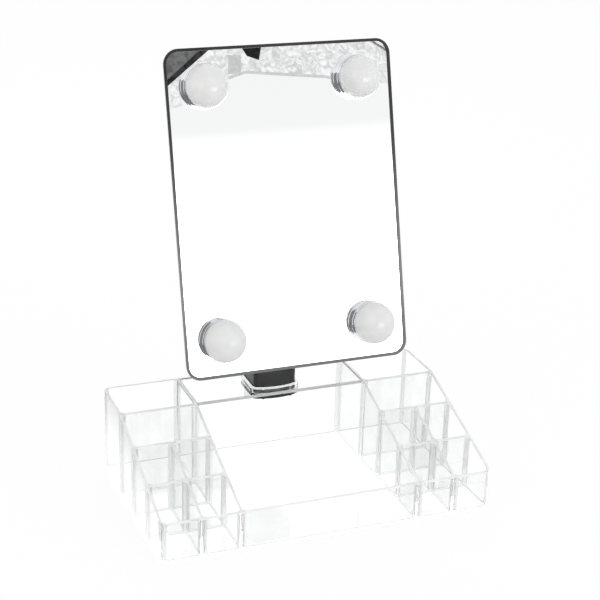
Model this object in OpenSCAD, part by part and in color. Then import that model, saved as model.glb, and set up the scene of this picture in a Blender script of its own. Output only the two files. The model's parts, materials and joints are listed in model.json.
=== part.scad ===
// Table-top make-up organizer: a clear compartment tray that carries a bulb-lit mirror on a black post.
// All sizes are in millimetres. The origin is the middle of the tray's footprint on the table top,
// +X points to the user's right, +Y to the back and +Z up.

/* [Tray] */
// Width of the tray
tray_w = 300; // [270:1:340]
// Depth of the tray from front to back
tray_d = 181; // [170:1:205]
// Height of the back wall and of the tall back compartments
back_wall_h = 80; // [74:1:88]
// Height of the front wall
front_wall_h = 37; // [28:1:45]
// Thickness of the tray's walls and dividers
wall_t = 2.5; // [2:0.1:3]
// Thickness of the tray's floor
floor_t = 3; // [2:0.5:4]
// Radius of the tray's four outer corners
tray_corner_r = 8; // [5:0.5:10]
// Radius of the corners inside each compartment
cell_corner_r = 3; // [2:0.5:4]
// Clear width of the open bay in the middle
bay_w = 158; // [140:1:170]
// Clear depth of the back compartments
back_cell_d = 53; // [50:1:58]
// Clear depth of the second row of compartments
second_cell_d = 36.5; // [30:0.5:42]

/* [Mirror shelf] */
// Thickness of the shelf that bridges the bay
shelf_t = 3; // [2.5:0.5:4]
// Depth of the pocket below the top of the shelf
pocket_h = 8; // [6:0.5:12]
// Thickness of the pocket's walls and floor
pocket_wall = 2.5; // [2:0.5:3]
// Radius of the two round ribs down the front of the pocket, under the shelf
rib_r = 1.2; // [0.8:0.1:1.6]
// Distance between the centres of the two ribs
rib_spacing = 26; // [20:1:30]

/* [Post] */
// Width of the post
post_w = 40; // [39:1:46]
// Depth of the post without the bulge of its front
post_d = 30; // [30:0.5:32]
// How far the post's front face bulges in its middle
post_bulge = 4; // [2:0.5:5]
// Radius of the post's upright corners
post_corner_r = 4; // [3:0.5:5]
// Thickness of the post's front and side walls
post_wall = 2; // [1.6:0.1:2.2]
// Thickness of the post's rear wall, which the battery door is let into
rear_wall = 3.2; // [3:0.1:3.6]
// Gap between the post and the tray's back wall
post_gap = 7; // [5:0.5:9]
// Thickness of the soft pad under the post
pad_t = 1; // [0.8:0.1:1.5]
// Height of the tilt axis above the top of the shelf
pivot_rise = 165; // [160:1:185]
// Height of the post screws above the shelf
post_screw_rise = 6; // [5:0.5:7]
// Distance of the post's screws from its sides
post_screw_inset = 8; // [7.5:0.1:8.5]

/* [Battery bay] */
// Diameter of one battery cell
cell_d = 14.2; // [13.8:0.1:14.5]
// Length of one battery cell with its button
cell_len = 50.2; // [49:0.1:50.5]
// Height and radius of the button on a cell's end
cell_nub = [1.2, 2.7];
// Gap on each side of a battery cell
cell_play = 0.5; // [0.3:0.1:0.5]
// Height of the bottom of the battery bay above the shelf
bay_rise = 14; // [13:0.5:16]
// Thickness of the cell tray's walls
cell_tray_t = 1.7; // [1.5:0.1:2]
// Thickness of the contact plates
contact_t = 0.4; // [0.3:0.1:0.5]
// Width and length of a contact plate
contact = [8, 12];
// Height of the bent contact springs
spring_h = 3.2; // [2.5:0.1:4]
// Thickness of the battery door
door_t = 1.5; // [1.2:0.1:1.6]
// Width of the rear shell left on each side of the door
door_margin = 3.6; // [3.4:0.1:4]
// How far the door reaches past the battery bay at each end
door_overlap = 2; // [1.5:0.1:2.5]
// Width of the ledges under the door's sides and ends
door_ledge = [1, 3];
// How far the door slides up to come free
door_travel = 10; // [8:0.5:10]
// Width, height and thickness of one of the door's hooks
hook = [3.6, 6, 1.5];
// Distance of the lower hooks from the door's bottom edge, and of the upper ones from its top edge
hook_inset = [10, 24];
// Number of grip ribs on the door
grip_ribs = 5; // [3:1:8]
// Distance from one grip rib to the next
grip_pitch = 3; // [2:0.5:4]
// Width, height and depth of one grip rib
grip_rib = [16, 1.2, 0.5];
// Height of the lowest grip rib above the door's bottom edge
grip_rise = 8; // [6:1:20]

/* [Tilt hinge] */
// Distance from the front of the glass to the tilt axis
pivot_offset = 39; // [37:0.5:44]
// Width of the bracket's knuckle
knuckle_w = 16; // [14:0.5:18]
// Radius of the bracket's knuckle
knuckle_r = 10; // [9:0.5:10.5]
// Height of the bracket's arm
arm_h = 16; // [12:1:18]
// Thickness of each ear of the fork
ear_t = 8; // [6:0.5:9]
// Radius of the rounded top of the ears
ear_r = 10.5; // [9.5:0.5:12]
// Thickness of the plate that closes the top of the post
head_plate_t = 4; // [3:0.5:4.5]
// Height from the top of the post to the tilt axis
head_drop = 15; // [15:0.5:18]
// Length of the head's spigot inside the post
spigot_h = 14; // [13:0.5:15]
// Depth of the head screws below the top of the post
head_screw_drop = 6; // [5:0.5:7]
// Radius of the wire passage through the head
head_passage_r = 6; // [4:0.5:6]
// Radius of the hinge bolt
bolt_r = 3; // [2.5:0.25:3.5]
// Radius and thickness of the bolt's round head
bolt_head = [5.5, 3];
// Radius across the corners, and depth, of the hexagon socket in the bolt's head
bolt_socket = [2.55, 1.8];
// Radius across the corners, and thickness, of the bolt's hexagon nut
bolt_nut = [5.8, 4.5];
// How far the bolt stands out of its nut
bolt_tail = 1; // [0.5:0.5:2]
// Radius of the friction washers in the hinge
hinge_washer_r = 9; // [7:0.5:10]
// Thickness of the friction washers in the hinge
hinge_washer_t = 1; // [0.8:0.1:1.5]

/* [Turning joint] */
// Radius of the bracket's flange
flange_r = 22; // [20:0.5:24]
// Thickness of the bracket's flange
flange_t = 4; // [3:0.5:5]
// Radius of the hollow spindle
spindle_r = 9; // [8:0.5:10]
// Radius of the wire passage through the spindle
wire_passage_r = 4; // [3:0.5:5]
// Radius and thickness of the spindle's nut
spindle_nut_size = [14, 3.6];
// Width and depth of the four key slots in the spindle's nut
key_slot = [3, 2];
// Thickness of the washers on both sides of the hub
turn_washer_t = 0.8; // [0.6:0.1:1]
// Gap at each washer, which lets the hub turn
turn_play = 0.05; // [0.03:0.01:0.08]
// Radius of the hub on the rear cover
hub_r = 20; // [18:0.5:22]
// Length of the hub inside the rear cover, from its outer face
hub_len = 3.8; // [3.4:0.1:4.5]
// How far the hub stands out of the rear cover
hub_proud = 1.2; // [1:0.1:2]
// How far the mirror turns each way, in degrees
turn_limit = 90; // [60:5:90]
// Width and radial length of the stops that limit the turn, and their height along the flange
turn_stop = [5, 4, 3];
// Gap between the flange and the stops on the rear cover
stop_gap = 1; // [0.5:0.1:1.5]
// How far past the limit the stops touch, in degrees
stop_margin = 1; // [0.5:0.5:2]

/* [Mirror] */
// Width of the mirror over its frame
mirror_w = 203.5; // [190:0.5:220]
// Height of the mirror over its frame
mirror_h = 277; // [265:1:285]
// Radius of the mirror's corners
mirror_corner_r = 13; // [8:0.5:20]
// How far the mirror leans back, in degrees
tilt = 15; // [10:1:20]
// Width of the frame's lip over the glass, seen from the front
lip_w = 2.6; // [2:0.1:3.2]
// Thickness of the frame's lip in front of the glass
lip_t = 0.8; // [0.5:0.1:1.2]
// Thickness of the frame's side wall
frame_wall = 1.4; // [1.2:0.1:1.6]
// Thickness of the mirror glass
glass_t = 2; // [1.8:0.1:3]
// Thickness of the board behind the glass
backing_t = 2; // [1.5:0.1:2.5]
// Thickness of the rear cover's flange
cover_flange_t = 1.2; // [1:0.1:1.6]
// Thickness of the rear cover's walls
cover_wall = 2; // [1.6:0.1:2.2]
// Distance from the mirror's edge to the raised middle of the rear cover
hump_inset = 12; // [10:0.5:16]
// Depth of the raised middle of the rear cover, from the board to its outer face
hump_depth = 9; // [8.8:0.1:10]
// Distance of the rear cover's screws from the edge of its raised middle
cover_screw_inset = 8; // [6:0.5:9]
// Height of the four side screws from the mirror's centre
side_screw_z = 60; // [45:1:75]

/* [Bulbs] */
// Distance of the bulbs from the mirror's left and right edges
bulb_side_inset = 33.4; // [28:0.1:40]
// Distance of the bulbs from the mirror's top and bottom edges
bulb_end_inset = 32.1; // [28:0.1:40]
// Radius of the bulb's milky dome
globe_r = 18.2; // [16:0.1:20]
// Height of the chrome collar in front of the glass
collar_h = 8.5; // [7:0.1:10]
// Thickness of the collar's wall
collar_wall = 1.3; // [1:0.1:1.6]
// How far the collar's edge reaches past the dome
collar_reach = 0.8; // [0.4:0.1:1.2]
// Thickness of the dome's wall
globe_wall = 1.4; // [1.2:0.1:1.8]
// Height of the dome's centre above the collar
dome_rise = 0.5; // [0:0.1:1]
// How deep the dome's skirt reaches into the collar
skirt_h = 4; // [3:0.1:4.4]
// Thickness of the bulb's base
base_t = 2.6; // [2:0.1:3]
// Radius of the threaded stub that passes through the glass
stub_r = 5; // [4:0.1:6]
// Radius of the wire hole through the stub
stub_bore_r = 2; // [1.5:0.1:2.5]
// Radius and thickness of the nut on the stub
stub_nut = [8, 3];
// Thickness of the circuit board in each bulb
bulb_board_t = 1.2; // [0.8:0.1:1.6]
// Number of light chips round each bulb's board
chips = 6; // [4:1:8]
// Radius of the ring of light chips
chip_ring_r = 9; // [6:0.5:10]
// Side and height of one light chip
chip = [2.8, 0.7];
// Radius of the wires
wire_r = 1.1; // [0.8:0.1:1.2]
// Gap between the wires and the inside of the rear cover
wire_gap = 0.5; // [0.3:0.1:0.8]

/* [Dimmer button] */
// Place of the button, right and up from the mirror's centre
button_at = [45, -60];
// Radius of the button
button_r = 6; // [5:0.5:7]
// How far the button stands out of the rear cover
button_proud = 1.2; // [1:0.1:2]
// How far the button can be pressed
button_travel = 1; // [0.6:0.1:1]
// How far the button's collar reaches past it, and how thick it is
button_collar = [1.5, 1.1];
// Width, height and thickness of the control board
control_board_size = [34, 24, 1.6];
// Side and height of the switch on the control board
switch_size = [6, 1.6];
// Radius of the switch's stem
switch_stem_r = 1.6; // [1:0.1:2]
// Width, height and thickness of one of the two chips on the control board
driver_chip = [4, 3, 1.2];

/* [Fits] */
// Gap between fixed pieces that slip together
slip = 0.15; // [0.1:0.05:0.2]
// Gap between pieces that slide past each other
slide_gap = 0.3; // [0.2:0.05:0.4]
// Gap round the foot of the post in its pocket
foot_gap = 0.5; // [0.3:0.1:0.8]
// Running clearance of a shaft in its bore
run = 0.06; // [0.03:0.01:0.08]
// Radius of a small screw's shank
screw_r = 1.25; // [1:0.05:1.4]
// Radius and thickness of a small screw's head
screw_head = [2.6, 1.5];
// Length, width and depth of the cross in a small screw's head
screw_cross = [3.2, 0.6, 0.7];
// How far a screw's head sits below the face round it
screw_sink = 0.3; // [0.2:0.1:0.5]
// Gap round a screw's shank
screw_gap = 0.1; // [0.05:0.05:0.2]
// Radius of a screw boss
boss_r = 3.5; // [3.2:0.1:4]
// Material left under a blind screw hole
hole_floor = 3; // [2:0.5:4]

/* [Hidden] */
$fn = 64;
eps = 0.01;
past = 1; // how far a cutting tool reaches past a face

// Places that follow from the sizes above
shelf_top = back_wall_h;
inner_back_y = tray_d / 2 - wall_t;
divider_y = inner_back_y - back_cell_d;
small_cell_d = (tray_d - 5 * wall_t - back_cell_d - second_cell_d) / 2;
side_cell_w = tray_w / 2 - bay_w / 2 - 2 * wall_t;
half_cell_w = (side_cell_w - wall_t) / 2;
side_cell_x = bay_w / 2 + wall_t + side_cell_w / 2;

post_y = inner_back_y - post_gap - post_d / 2;
post_bottom = shelf_top - pocket_h + pad_t;
pivot_z = shelf_top + pivot_rise;
post_top = pivot_z - head_drop;
post_len = post_top - post_bottom;
post_front_y = post_y - post_d / 2 - post_bulge;
post_rear_y = post_y + post_d / 2;
rear_seat_y = post_rear_y - screw_sink - screw_head[1];
bulge_r = (post_w * post_w / 4 + post_bulge * post_bulge) / (2 * post_bulge);
bulge_y = post_front_y + bulge_r;
front_corner_x = post_w / 2 - post_corner_r;
front_corner_y = bulge_y - sqrt(pow(bulge_r - post_corner_r, 2) - pow(front_corner_x, 2));
post_screw_x = post_w / 2 - post_screw_inset;
post_screw_z = shelf_top + post_screw_rise;
head_screw_z = post_top - head_screw_drop;

bay_z = shelf_top + bay_rise;
cell_z = bay_z + cell_tray_t + contact_t + spring_h;
cells_top = cell_z + 2 * cell_len + slip;
bay_top = cells_top + slip + contact_t + cell_tray_t;
cell_x = cell_d / 2 + cell_play;
cell_y = post_rear_y - rear_wall - cell_play - cell_d / 2;
cell_tray_y = cell_y - cell_d / 2 - cell_play - cell_tray_t;
door_z = bay_z - door_overlap;
door_h = bay_top - bay_z + 2 * door_overlap;
door_w = post_w - 2 * door_margin;
window_w = door_w - 2 * door_ledge[0];
door_y = post_rear_y - door_t;
hook_y = post_rear_y - rear_wall - slip - hook[2];
hook_heights = [door_z + hook_inset[0], door_z + door_h - hook_inset[1]];

cover_y = glass_t + backing_t;
frame_depth = cover_y + cover_flange_t;
hump_y = cover_y + hump_depth;
hump_w = mirror_w - 2 * hump_inset;
hump_h = mirror_h - 2 * hump_inset;
hump_corner_r = max(mirror_corner_r - frame_wall - cover_wall, 2 * cover_wall);
glass_w = mirror_w - 2 * frame_wall - 2 * slip;
glass_h = mirror_h - 2 * frame_wall - 2 * slip;
glass_corner_r = mirror_corner_r - frame_wall - slip;
hub_back = hump_y + hub_proud;
flange_y = hub_back + turn_washer_t + turn_play;
hub_front = hub_back - hub_len - hub_proud;
spindle_nut_y = hub_front - turn_washer_t - turn_play - spindle_nut_size[1];
washer_x = knuckle_w / 2 + turn_play;
ear_x = washer_x + hinge_washer_t;
ear_out = ear_x + ear_t;
stop_r = flange_r + stop_gap;
lug_half_angle = asin(turn_stop[0] / 2 / stop_r);
stop_angle = turn_limit + 2 * lug_half_angle + stop_margin;
screw_seat_y = hump_y - screw_sink - screw_head[1];
cover_screws_at = concat(
    [for (sx = [-1, 1], sz = [-1, 1]) [sx * (hump_w / 2 - cover_screw_inset), sz * side_screw_z]],
    [for (sz = [-1, 1]) [0, sz * (hump_h / 2 - cover_screw_inset)]]);

bulb_x = mirror_w / 2 - bulb_side_inset;
bulb_z = mirror_h / 2 - bulb_end_inset;
bulbs_at = [for (sz = [1, -1], sx = [-1, 1]) [sx * bulb_x, sz * bulb_z]];
dome_h = collar_h + dome_rise;
globe_cut_h = collar_h + slip;
collar_r = globe_r + collar_reach;
skirt_r = collar_r - collar_wall - slip;
base_r = skirt_r - globe_wall - slip;
stub_len = cover_y + stub_nut[1];
wire_y = hump_y - cover_wall - wire_gap - wire_r;
control_y = cover_y + control_board_size[2];
button_inner_y = hump_y - cover_wall - slip - button_collar[1];

// ---------- helpers ----------

// A rectangle with round corners, centred
module rounded_rect(w, d, r) {
    square([w - 2 * r, d], center = true);
    square([w, d - 2 * r], center = true);
    for (sx = [-1, 1], sy = [-1, 1])
        translate([sx * (w / 2 - r), sy * (d / 2 - r)]) circle(r);
}

// A box from one corner to the other
module block(low, high) {
    translate(low) cube(high - low);
}

// A rod or disc along Y, from y0 to y1
module y_rod(r, y0, y1) {
    translate([0, y1, 0]) rotate([90, 0, 0]) cylinder(r = r, h = y1 - y0);
}

// A rod along X, from x0 to x1
module x_rod(r, x0, x1) {
    translate([x0, 0, 0]) rotate([0, 90, 0]) cylinder(r = r, h = x1 - x0);
}

// An upright plate with round corners, from y0 to y1
module plate(w, h, r, y0, y1) {
    translate([0, y1, 0]) rotate([90, 0, 0]) linear_extrude(y1 - y0) rounded_rect(w, h, r);
}

// A small screw along Y, from its tip to the seat of its head, with a cross in the head
module small_screw(tip_y, seat_y) {
    head_end = seat_y + screw_head[1];
    difference() {
        union() {
            y_rod(screw_r, tip_y, seat_y);
            y_rod(screw_head[0], seat_y, head_end);
        }
        for (turn = [0, 90])
            rotate([0, turn, 0])
                block([-screw_cross[0] / 2, head_end - screw_cross[2], -screw_cross[1] / 2],
                      [screw_cross[0] / 2, head_end + past, screw_cross[1] / 2]);
    }
}

// The space for a small screw along Y: its shank from y0 on, and its head from the seat on
module screw_bore(y0, seat_y) {
    head_end = seat_y + screw_head[1] + screw_sink + past;
    y_rod(screw_r + screw_gap, y0, head_end);
    y_rod(screw_head[0] + slide_gap, seat_y, head_end);
}

// Puts its children in the mirror's own frame: x to the right, y from the front of the glass
// to the back, z up along the glass, with the origin at the middle of the glass
module in_mirror() {
    translate([0, post_y, pivot_z]) rotate([-tilt, 0, 0]) translate([0, -pivot_offset, 0]) children();
}

// Puts its children at bulb i, with z pointing out of the glass
module at_bulb(i) {
    in_mirror() translate([bulbs_at[i][0], 0, bulbs_at[i][1]]) rotate([90, 0, 0]) children();
}

// ---------- tray ----------

// The outline of the tray from the side, on which every wall ends
module tray_profile() {
    half = tray_d / 2;
    polygon([[-half, 0], [half, 0], [half, back_wall_h], [divider_y, back_wall_h], [-half, front_wall_h]]);
}

// One compartment, as the space that is cut out of the tray
module compartment(x, y_front, w, d) {
    translate([x, y_front + d / 2, floor_t])
        linear_extrude(back_wall_h) rounded_rect(w, d, cell_corner_r);
}

module organizer_tray() color([0.93, 0.95, 0.96, 0.35]) {
    first_y = -tray_d / 2 + wall_t;
    difference() {
        intersection() {
            linear_extrude(back_wall_h) rounded_rect(tray_w, tray_d, tray_corner_r);
            rotate([90, 0, 90]) translate([0, 0, -tray_w / 2]) linear_extrude(tray_w) tray_profile();
        }
        compartment(0, first_y, bay_w, tray_d - 2 * wall_t);
        for (side = [-1, 1]) {
            compartment(side * side_cell_x, divider_y, side_cell_w, back_cell_d);
            compartment(side * side_cell_x, divider_y - wall_t - second_cell_d, side_cell_w, second_cell_d);
            for (row = [0, 1], half = [-1, 1])
                compartment(
                    side * side_cell_x + half * (half_cell_w + wall_t) / 2,
                    first_y + row * (small_cell_d + wall_t),
                    half_cell_w, small_cell_d);
        }
    }
}

// The front face of the pocket's outside, at a place across the shelf
function pocket_face_y(x) = bulge_y - sqrt(pow(bulge_r + foot_gap + pocket_wall, 2) - x * x);

module mirror_shelf() color([0.93, 0.95, 0.96, 0.35]) {
    pocket_floor_z = shelf_top - pocket_h;
    shelf_corner_r = cell_corner_r + slide_gap;
    rib_x = rib_spacing / 2;
    difference() {
        union() {
            translate([0, inner_back_y - back_cell_d / 2, shelf_top - shelf_t])
                linear_extrude(shelf_t) rounded_rect(bay_w, back_cell_d, shelf_corner_r);
            block([-bay_w / 2, divider_y, shelf_top - shelf_t],
                  [bay_w / 2, divider_y + 2 * shelf_corner_r, shelf_top]);
            translate([0, 0, pocket_floor_z - pocket_wall])
                linear_extrude(pocket_h + pocket_wall) post_outline(-foot_gap - pocket_wall);
            for (side = [-1, 1])
                translate([side * rib_x, pocket_face_y(rib_x), pocket_floor_z - pocket_wall])
                    cylinder(r = rib_r, h = pocket_h + pocket_wall - shelf_t / 2);
        }
        translate([0, 0, pocket_floor_z]) linear_extrude(pocket_h + past) post_outline(-foot_gap);
    }
}

// ---------- post ----------

// The post seen from above: straight sides, and round corners that run into a bulging front
module post_outline(inset) {
    front_y = front_corner_y - post_corner_r + inset;
    rear_y = post_rear_y - inset;
    blend_x = front_corner_x * (bulge_r - inset) / (bulge_r - post_corner_r);
    translate([0, (rear_y + front_y) / 2])
        rounded_rect(post_w - 2 * inset, rear_y - front_y, post_corner_r - inset);
    intersection() {
        translate([0, bulge_y]) circle(bulge_r - inset, $fn = 180);
        translate([-blend_x, post_front_y - post_d]) square([2 * blend_x, 2 * post_d]);
    }
}

// The space inside the post's walls, smaller by a gap
module post_space(gap) {
    intersection() {
        post_outline(post_wall + gap);
        translate([-post_w, post_front_y])
            square([2 * post_w, post_rear_y - rear_wall - gap - post_front_y]);
    }
}

// The front or the rear half of a shape drawn where the post stands
module post_half(side) {
    intersection() {
        children();
        translate([-post_w, side > 0 ? post_y : post_y - post_d]) square([2 * post_w, post_d]);
    }
}

// Puts its children at both screws of a pair in the post
module at_post_screws(z) {
    for (side = [-1, 1]) translate([side * post_screw_x, 0, z]) children();
}

module foot_pad() color([0.25, 0.25, 0.27]) {
    translate([0, 0, post_bottom - pad_t]) linear_extrude(pad_t) post_outline(foot_gap);
}

module post_front_shell() color([0.12, 0.12, 0.13]) {
    difference() {
        translate([0, 0, post_bottom]) linear_extrude(post_len) post_half(-1) post_outline(0);
        difference() {
            translate([0, 0, post_bottom + post_wall]) linear_extrude(post_len)
                post_half(-1) post_space(0);
            at_post_screws(post_screw_z) y_rod(boss_r, post_front_y, post_y);
        }
        at_post_screws(post_screw_z)
            y_rod(screw_r + screw_gap, post_front_y + post_wall + hole_floor, post_y + past);
    }
}

module post_rear_shell() color([0.12, 0.12, 0.13]) {
    difference() {
        union() {
            translate([0, 0, post_bottom]) difference() {
                linear_extrude(post_len) post_half(1) post_outline(0);
                translate([0, 0, post_wall]) linear_extrude(post_len) post_half(1) post_space(0);
            }
            at_post_screws(post_screw_z) y_rod(boss_r, post_y, post_rear_y - rear_wall / 2);
        }
        for (z = [post_screw_z, head_screw_z]) at_post_screws(z) screw_bore(post_y - past, rear_seat_y);
        block([-door_w / 2 - slide_gap, door_y - slip, door_z - slide_gap],
              [door_w / 2 + slide_gap, post_rear_y + past, door_z + door_h + door_travel + slide_gap]);
        block([-window_w / 2, post_y + post_wall, door_z + door_ledge[1]],
              [window_w / 2, post_rear_y, door_z + door_h - door_ledge[1]]);
        for (z = hook_heights)
            block([-window_w / 2 - hook[0] / 2 - slide_gap, hook_y, z + door_travel - slide_gap],
                  [window_w / 2 + hook[0] / 2 + slide_gap, post_rear_y,
                   z + hook[1] + door_travel + slide_gap]);
    }
}

module post_screws() color([0.6, 0.6, 0.62]) at_post_screws(post_screw_z)
    small_screw(post_front_y + post_wall + hole_floor + past, rear_seat_y);

module battery_door() color([0.14, 0.14, 0.15]) {
    block([-door_w / 2, door_y, door_z], [door_w / 2, post_rear_y, door_z + door_h]);
    for (z = hook_heights, side = [-1, 1])
        scale([side, 1, 1]) {
            block([window_w / 2 - slide_gap - hook[0] / 2, hook_y, z],
                  [window_w / 2 - slide_gap, door_y + eps, z + hook[1]]);
            block([window_w / 2 - slide_gap - hook[0] / 2, hook_y, z],
                  [window_w / 2 - slide_gap + hook[0] / 2, hook_y + hook[2], z + hook[1]]);
        }
    for (i = [0:grip_ribs - 1])
        translate([0, post_rear_y, door_z + grip_rise + i * grip_pitch])
            block([-grip_rib[0] / 2, -eps, 0], [grip_rib[0] / 2, grip_rib[2], grip_rib[1]]);
}

module cell_tray() color([0.16, 0.16, 0.17]) {
    half_w = post_w / 2 - post_wall - slide_gap;
    tray_end_y = hook_y - slide_gap;
    block([-half_w, cell_tray_y, bay_z], [half_w, cell_tray_y + cell_tray_t, bay_top]);
    block([-half_w, cell_tray_y, bay_z], [half_w, tray_end_y, bay_z + cell_tray_t]);
    block([-half_w, cell_tray_y, bay_top - cell_tray_t], [half_w, tray_end_y, bay_top]);
}

// A cell stands on end; the right-hand ones are the other way up
module cell(i) color(i < 2 ? [0.72, 0.70, 0.66] : [0.66, 0.68, 0.70]) {
    column = i % 2;
    level = floor(i / 2);
    translate([(column * 2 - 1) * cell_x, cell_y, cell_z + level * (cell_len + slip) + cell_len / 2])
        rotate([column * 180, 0, 0]) translate([0, 0, -cell_len / 2]) {
            cylinder(d = cell_d, h = cell_len - cell_nub[0]);
            cylinder(r = cell_nub[1], h = cell_len);
        }
}

module cell_contacts() color([0.75, 0.72, 0.62]) {
    w = contact[0];
    reach = contact[1] / 2;
    spring_top = contact_t + spring_h - slip;
    strip_reach = reach - 2 * contact_t;
    for (side = [-1, 1])
        translate([side * cell_x, cell_y, bay_z + cell_tray_t]) {
            block([-w / 2, -reach, 0], [w / 2, reach, contact_t]);
            translate([-w / 2, 0, 0]) rotate([90, 0, 90]) linear_extrude(w)
                polygon([[-reach, contact_t], [0, spring_top], [reach, contact_t],
                         [strip_reach, contact_t], [0, spring_top - contact_t], [-strip_reach, contact_t]]);
        }
    translate([0, cell_y, cells_top + slip])
        block([-cell_x - w / 2, -reach, 0], [cell_x + w / 2, reach, contact_t]);
}

module post_head() color([0.12, 0.12, 0.13]) {
    difference() {
        union() {
            translate([0, 0, post_top - spigot_h]) linear_extrude(spigot_h) post_space(slip);
            translate([0, 0, post_top]) linear_extrude(head_plate_t) post_outline(0);
            for (side = [-1, 1])
                translate([side * (ear_x + ear_t / 2), post_y, 0]) {
                    block([-ear_t / 2, -ear_r, post_top], [ear_t / 2, ear_r, pivot_z]);
                    translate([0, 0, pivot_z]) x_rod(ear_r, -ear_t / 2, ear_t / 2);
                }
        }
        translate([0, post_y, pivot_z]) x_rod(bolt_r + run, -ear_out - past, ear_out + past);
        translate([0, post_y, post_top - spigot_h - past])
            cylinder(r = head_passage_r, h = spigot_h + head_plate_t + 2 * past);
        at_post_screws(head_screw_z) y_rod(screw_r + screw_gap, post_y + hole_floor - past, post_rear_y);
    }
}

module head_screws() color([0.6, 0.6, 0.62]) at_post_screws(head_screw_z)
    small_screw(post_y + hole_floor, rear_seat_y);

module hinge_bolt() color([0.55, 0.55, 0.57]) {
    translate([0, post_y, pivot_z]) difference() {
        union() {
            x_rod(bolt_r, -ear_out, ear_out + bolt_nut[1] + bolt_tail);
            x_rod(bolt_head[0], -ear_out - bolt_head[1], -ear_out);
        }
        translate([-ear_out - bolt_head[1] - past, 0, 0]) rotate([0, 90, 0])
            cylinder(r = bolt_socket[0], h = bolt_socket[1] + past, $fn = 6);
    }
}

module hinge_nut() color([0.55, 0.55, 0.57]) {
    translate([ear_out, post_y, pivot_z]) rotate([0, 90, 0]) difference() {
        cylinder(r = bolt_nut[0], h = bolt_nut[1], $fn = 6);
        translate([0, 0, -past]) cylinder(r = bolt_r + run, h = bolt_nut[1] + 2 * past);
    }
}

module hinge_washers() color([0.85, 0.85, 0.82]) {
    for (side = [-1, 1])
        translate([side * (washer_x + hinge_washer_t / 2), post_y, pivot_z]) difference() {
            x_rod(hinge_washer_r, -hinge_washer_t / 2, hinge_washer_t / 2);
            x_rod(bolt_r + run, -hinge_washer_t, hinge_washer_t);
        }
}

// ---------- bracket ----------

module tilt_bracket() color([0.15, 0.15, 0.16]) in_mirror() {
    exit_y = flange_y + flange_t + wire_passage_r;
    difference() {
        union() {
            y_rod(flange_r, flange_y, flange_y + flange_t);
            y_rod(spindle_r, spindle_nut_y, flange_y + flange_t / 2);
            block([-knuckle_w / 2, flange_y + flange_t / 2, -arm_h / 2],
                  [knuckle_w / 2, pivot_offset, arm_h / 2]);
            translate([0, pivot_offset, 0]) x_rod(knuckle_r, -knuckle_w / 2, knuckle_w / 2);
            block([-turn_stop[0] / 2, flange_y, flange_r - turn_stop[1] / 2],
                  [turn_stop[0] / 2, flange_y + flange_t, stop_r + turn_stop[1]]);
        }
        translate([0, pivot_offset, 0]) x_rod(bolt_r + run, -knuckle_w, knuckle_w);
        y_rod(wire_passage_r, spindle_nut_y - past, exit_y);
        translate([0, exit_y, -knuckle_r]) cylinder(r = wire_passage_r - slide_gap, h = knuckle_r);
    }
}

module turn_washers() color([0.85, 0.85, 0.82]) in_mirror() {
    for (y = [hub_back + turn_play / 2, hub_front - turn_play / 2 - turn_washer_t])
        difference() {
            y_rod(spindle_nut_size[0], y, y + turn_washer_t);
            y_rod(spindle_r + slip, y - past, y + turn_washer_t + past);
        }
}

module spindle_nut() color([0.6, 0.6, 0.62]) in_mirror() {
    r = spindle_nut_size[0];
    y0 = spindle_nut_y - turn_play / 2;
    y1 = y0 + spindle_nut_size[1];
    difference() {
        y_rod(r, y0, y1);
        y_rod(spindle_r + run, y0 - past, y1 + past);
        for (turn = [0:90:270])
            rotate([0, turn, 0])
                block([-key_slot[0] / 2, y0 - past, r - key_slot[1]],
                      [key_slot[0] / 2, y1 + past, r + past]);
    }
}

// ---------- mirror ----------

module mirror_frame() color([0.1, 0.1, 0.11]) in_mirror() {
    difference() {
        plate(mirror_w, mirror_h, mirror_corner_r, -lip_t, frame_depth);
        plate(mirror_w - 2 * frame_wall, mirror_h - 2 * frame_wall, mirror_corner_r - frame_wall,
              0, frame_depth + past);
        plate(mirror_w - 2 * lip_w, mirror_h - 2 * lip_w, mirror_corner_r - lip_w, -lip_t - past, past);
    }
}

// A hole for each bulb's stub, from y0 to y1
module stub_holes(y0, y1) {
    for (at = bulbs_at) translate([at[0], 0, at[1]]) y_rod(stub_r + slide_gap, y0 - past, y1 + past);
}

module mirror_glass() color([0.8, 0.82, 0.85]) in_mirror() {
    difference() {
        plate(glass_w, glass_h, glass_corner_r, 0, glass_t);
        stub_holes(0, glass_t);
    }
}

module backing_board() color([0.35, 0.36, 0.38]) in_mirror() {
    difference() {
        plate(glass_w, glass_h, glass_corner_r, glass_t, cover_y);
        stub_holes(glass_t, cover_y);
        for (at = cover_screws_at)
            translate([at[0], 0, at[1]]) y_rod(screw_r + screw_gap, glass_t - past, cover_y + past);
    }
}

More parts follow.
